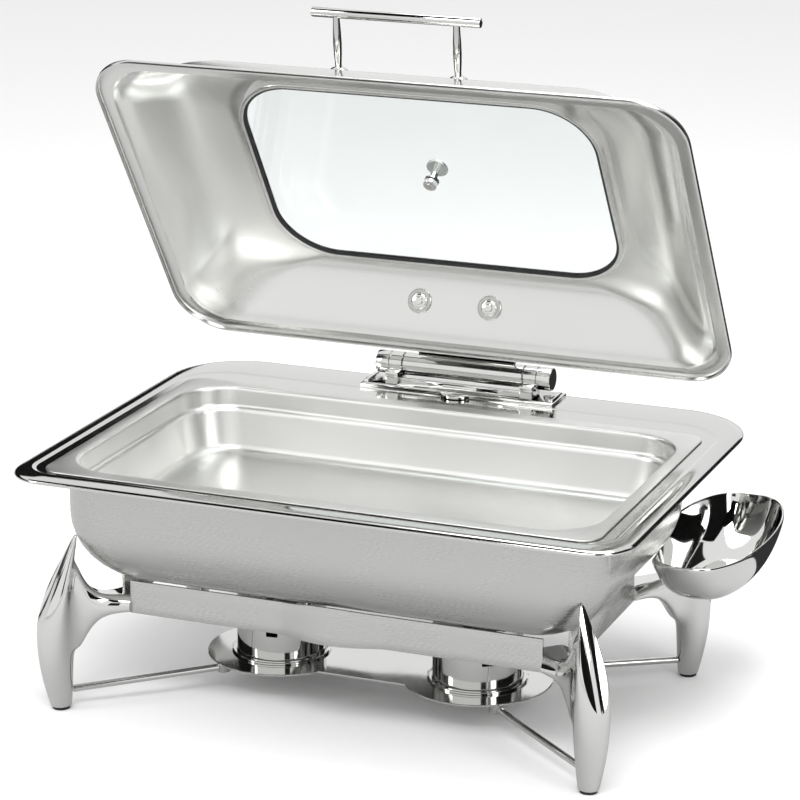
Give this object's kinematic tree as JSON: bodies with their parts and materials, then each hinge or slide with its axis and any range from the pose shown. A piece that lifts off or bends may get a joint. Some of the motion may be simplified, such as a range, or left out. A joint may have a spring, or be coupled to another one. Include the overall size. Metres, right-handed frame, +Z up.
{
  "type": "hinged lid rectangular chafer",
  "caption": "Full-size rectangular steel chafer with a hinged windowed lid, horn-shaped legs, two fuel holders on a dumbbell tray and a boat-shaped spoon rest",
  "frame": {"origin": "On the floor, under the middle of the food pan and midway between the four feet", "axes": "X runs along the long side, Y runs from the front to the hinge, Z is up"},
  "size_m": [0.6305, 0.445, 0.6347],
  "materials": {
    "polished_steel": "mirror-polished stainless steel",
    "brushed_steel": "fine-brushed stainless steel",
    "satin_steel": "satin stainless steel of small turned parts",
    "clear_glass": "clear tempered glass",
    "black_rubber": "matt black silicone rubber",
    "spring_steel": "oiled spring steel",
    "white_nylon": "natural nylon"
  },
  "bodies": {
    "stand": {"leg_front_left": "polished_steel", "leg_front_right": "polished_steel", "leg_rear_left": "polished_steel", "leg_rear_right": "polished_steel", "foot_pads": "black_rubber", "front_apron": "brushed_steel", "rear_apron": "brushed_steel", "left_apron": "brushed_steel", "right_apron": "brushed_steel", "apron_screws": "satin_steel", "brace_rod_front_left": "polished_steel", "brace_rod_front_right": "polished_steel", "brace_rod_rear_left": "polished_steel", "brace_rod_rear_right": "polished_steel", "brace_screws": "satin_steel", "burner_tray": "polished_steel", "holder_rings": "polished_steel", "spoon_rest": "polished_steel"},
    "holder_left": {"fuel_holder_left": "polished_steel", "cover_pivot_left": "satin_steel"},
    "cover_left": {"snuffer_cover_left": "polished_steel", "cover_knob_left": "satin_steel"},
    "holder_right": {"fuel_holder_right": "polished_steel", "cover_pivot_right": "satin_steel"},
    "cover_right": {"snuffer_cover_right": "polished_steel", "cover_knob_right": "satin_steel"},
    "water_pan": {"water_pan": "brushed_steel", "hinge_base_plate": "polished_steel", "hinge_post_left": "polished_steel", "hinge_post_right": "polished_steel", "hinge_front_leaf": "polished_steel", "hinge_base_screws": "satin_steel", "hinge_pin": "satin_steel", "hinge_end_cap_left": "polished_steel", "hinge_end_cap_right": "polished_steel"},
    "food_pan": {"food_pan": "polished_steel"},
    "lid": {"hinge_barrel": "polished_steel", "hinge_bushes": "white_nylon", "hinge_damper": "spring_steel", "hinge_spring": "spring_steel", "hinge_arm": "polished_steel", "hinge_bolts": "polished_steel", "hinge_washers": "satin_steel", "lid_shell": "brushed_steel", "window_glass": "clear_glass", "window_gasket": "black_rubber", "window_retainer": "brushed_steel", "vent_disc": "polished_steel", "vent_stem": "polished_steel", "handle_bar": "polished_steel", "handle_post_left": "polished_steel", "handle_post_right": "polished_steel", "handle_collars": "polished_steel", "handle_screws": "satin_steel"}
  },
  "joints": [
    {"name": "water_pan_lift", "type": "slide", "parent": "stand", "child": "water_pan", "axis": [0, 0, 1], "range_m": [0, 0.12]},
    {"name": "food_pan_lift", "type": "slide", "parent": "water_pan", "child": "food_pan", "axis": [0, 0, 1], "range_m": [0, 0.068]},
    {"name": "lid_hinge", "type": "hinge", "parent": "water_pan", "child": "lid", "pos_m": [0, 0.225, 0.253], "axis": [-1, 0, 0], "range_deg": [-56.3, 33.7]},
    {"name": "holder_left_lift", "type": "slide", "parent": "stand", "child": "holder_left", "axis": [0, 0, 1], "range_m": [0, 0.018]},
    {"name": "holder_right_lift", "type": "slide", "parent": "stand", "child": "holder_right", "axis": [0, 0, 1], "range_m": [0, 0.018]},
    {"name": "cover_left_swing", "type": "hinge", "parent": "holder_left", "child": "cover_left", "pos_m": [-0.099, 0.045, 0.0874], "axis": [0, 0, -1], "range_deg": [0, 110]},
    {"name": "cover_right_swing", "type": "hinge", "parent": "holder_right", "child": "cover_right", "pos_m": [0.099, 0.045, 0.0874], "axis": [0, 0, 1], "range_deg": [0, 110]}
  ]
}
